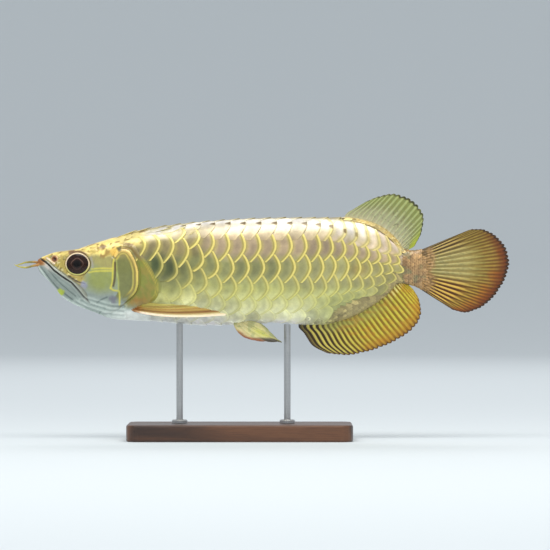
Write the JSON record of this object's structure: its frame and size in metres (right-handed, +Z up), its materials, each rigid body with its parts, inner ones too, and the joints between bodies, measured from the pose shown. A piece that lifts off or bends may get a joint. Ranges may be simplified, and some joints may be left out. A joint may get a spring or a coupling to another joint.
{
  "type": "asian arowana",
  "caption": "Still life-size model of a live asian arowana in a level swimming pose, held by short rods on a flat display base.",
  "frame": {"origin": "middle of the flat underside of the display stand's base", "axes": "+Z up; -X along the fish towards its snout, +X towards its tail; -Y out of its left flank"},
  "size_m": [0.4186, 0.0972, 0.2081],
  "materials": {
    "skin": "wet skin of head and body, gold above, grey-green cheeks and silver lower jaw",
    "scales": "wet pearly scales with broad gold rims",
    "dorsal_fin": "wet olive fin membrane with a dark edge",
    "anal_fin": "wet gold fin membrane with dark rays and edge",
    "caudal_fin": "wet gold to red-brown fin membrane with dark stripes",
    "paired_fin": "wet yellow and brown fin membrane",
    "barbel": "wet yellow-olive skin",
    "eye": "clear wet cornea over a near-black iris",
    "base_wood": "satin dark wood",
    "rod_steel": "brushed steel"
  },
  "bodies": {
    "root": {"head": "skin", "lower_jaw": "skin", "gill_cover_left": "skin", "gill_cover_right": "skin", "trunk": "scales", "tail": "scales", "dorsal_fin": "dorsal_fin", "anal_fin": "anal_fin", "caudal_fin": "caudal_fin", "pectoral_fin_left": "paired_fin", "pectoral_fin_right": "paired_fin", "pelvic_fin_left": "paired_fin", "pelvic_fin_right": "paired_fin", "barbel_left": "barbel", "barbel_right": "barbel", "eye_left": "eye", "eye_right": "eye", "stand_base": "base_wood", "stand_rod_front": "rod_steel", "stand_rod_rear": "rod_steel"}
  },
  "joints": []
}
